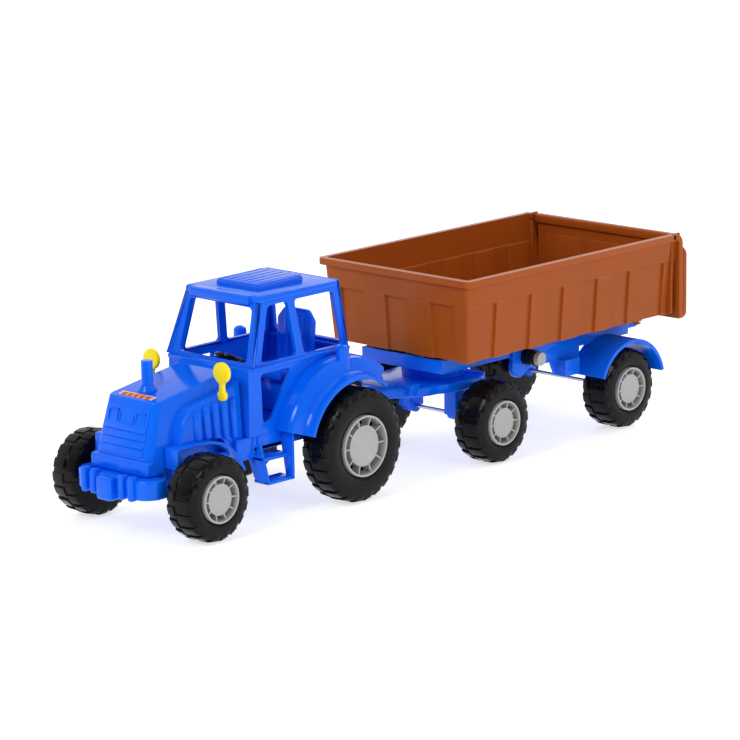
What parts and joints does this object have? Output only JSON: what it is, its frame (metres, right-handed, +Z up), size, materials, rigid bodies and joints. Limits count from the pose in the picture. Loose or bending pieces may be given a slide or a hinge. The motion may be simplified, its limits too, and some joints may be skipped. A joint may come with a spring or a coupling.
{
  "type": "toy tractor with tipping trailer",
  "caption": "Moulded toy tractor with an open cab and side steps, towing a trailer with a turntable front axle, a tipping bed and a hinged tailgate.",
  "frame": {"origin": "on the ground under the middle of the whole train's footprint", "axes": "+Z up, +Y from the tractor towards the trailer's tailgate, +X the tractor's left side"},
  "size_m": [0.1584, 0.5738, 0.1686],
  "materials": {
    "blue_body": "smooth moulded",
    "yellow_trim": "smooth moulded",
    "brown_bed": "smooth moulded",
    "tyre": "satin moulded, black",
    "hub_cap": "smooth moulded, grey",
    "black_trim": "smooth moulded, black",
    "steel": "drawn rod",
    "sticker": "printed film"
  },
  "bodies": {
    "tractor": {"chassis": "blue_body", "body_screws": "steel", "hood": "blue_body", "cab_body": "blue_body", "cab_frame": "blue_body", "roof_hatch": "blue_body", "seat": "blue_body", "dashboard": "blue_body", "exhaust_stack": "blue_body", "mirror_left": "yellow_trim", "mirror_right": "yellow_trim", "hood_sticker": "sticker", "hitch_pin": "blue_body"},
    "steering": {"steering_wheel": "black_trim"},
    "front_axle": {"front_axle_rod": "steel", "front_axle_left_tyre_outer": "tyre", "front_axle_left_tyre_inner": "tyre", "front_axle_left_hub_cap": "hub_cap", "front_axle_right_tyre_outer": "tyre", "front_axle_right_tyre_inner": "tyre", "front_axle_right_hub_cap": "hub_cap"},
    "rear_axle": {"rear_axle_rod": "steel", "rear_axle_left_tyre_outer": "tyre", "rear_axle_left_tyre_inner": "tyre", "rear_axle_left_hub_cap": "hub_cap", "rear_axle_right_tyre_outer": "tyre", "rear_axle_right_tyre_inner": "tyre", "rear_axle_right_hub_cap": "hub_cap"},
    "dolly_axle": {"dolly_axle_rod": "steel", "dolly_axle_left_tyre_outer": "tyre", "dolly_axle_left_tyre_inner": "tyre", "dolly_axle_left_hub_cap": "hub_cap", "dolly_axle_right_tyre_outer": "tyre", "dolly_axle_right_tyre_inner": "tyre", "dolly_axle_right_hub_cap": "hub_cap"},
    "tail_axle": {"tail_axle_rod": "steel", "tail_axle_left_tyre_outer": "tyre", "tail_axle_left_tyre_inner": "tyre", "tail_axle_left_hub_cap": "hub_cap", "tail_axle_right_tyre_outer": "tyre", "tail_axle_right_tyre_inner": "tyre", "tail_axle_right_hub_cap": "hub_cap"},
    "dolly": {"dolly": "blue_body"},
    "trailer": {"trailer_frame": "blue_body", "king_pin": "blue_body", "bed_hinge_pin": "steel"},
    "bed": {"bed": "brown_bed"},
    "tip_shaft": {"tip_shaft": "blue_body", "tip_knob": "hub_cap"},
    "tailgate": {"tailgate": "brown_bed"}
  },
  "joints": [
    {"name": "steering_turn", "type": "hinge", "parent": "tractor", "child": "steering", "pos_m": [0, -0.16395, 0.093], "axis": [0, 0.4695, 0.8829], "continuous": true},
    {"name": "front_wheels_roll", "type": "hinge", "parent": "tractor", "child": "front_axle", "pos_m": [0, -0.23995, 0.0325], "axis": [1, 0, 0], "continuous": true},
    {"name": "rear_wheels_roll", "type": "hinge", "parent": "tractor", "child": "rear_axle", "pos_m": [0, -0.08845, 0.0437], "axis": [1, 0, 0], "continuous": true},
    {"name": "hitch_yaw", "type": "hinge", "parent": "tractor", "child": "dolly", "pos_m": [0, -0.03645, 0.0579], "axis": [0, 0, 1], "range_deg": [-30, 30]},
    {"name": "dolly_wheels_roll", "type": "hinge", "parent": "dolly", "child": "dolly_axle", "pos_m": [0, 0.06905, 0.0325], "axis": [1, 0, 0], "continuous": true},
    {"name": "turntable_yaw", "type": "hinge", "parent": "dolly", "child": "trailer", "pos_m": [0, 0.06905, 0.0618], "axis": [0, 0, 1], "range_deg": [-20, 20]},
    {"name": "tail_wheels_roll", "type": "hinge", "parent": "trailer", "child": "tail_axle", "pos_m": [0, 0.22255, 0.0325], "axis": [1, 0, 0], "continuous": true},
    {"name": "bed_tip", "type": "hinge", "parent": "trailer", "child": "bed", "pos_m": [0, 0.26755, 0.077], "axis": [-1, 0, 0], "range_deg": [0, 35]},
    {"name": "tip_shaft_turn", "type": "hinge", "parent": "trailer", "child": "tip_shaft", "pos_m": [0, 0.12705, 0.0713], "axis": [-1, 0, 0], "range_deg": [0, 91]},
    {"name": "tailgate_swing", "type": "hinge", "parent": "bed", "child": "tailgate", "pos_m": [0, 0.27705, 0.146], "axis": [1, 0, 0], "range_deg": [0, 75]}
  ],
  "couplings": [
    {"joint": "tip_shaft_turn", "follows": "bed_tip", "ratio": 2.6}
  ]
}
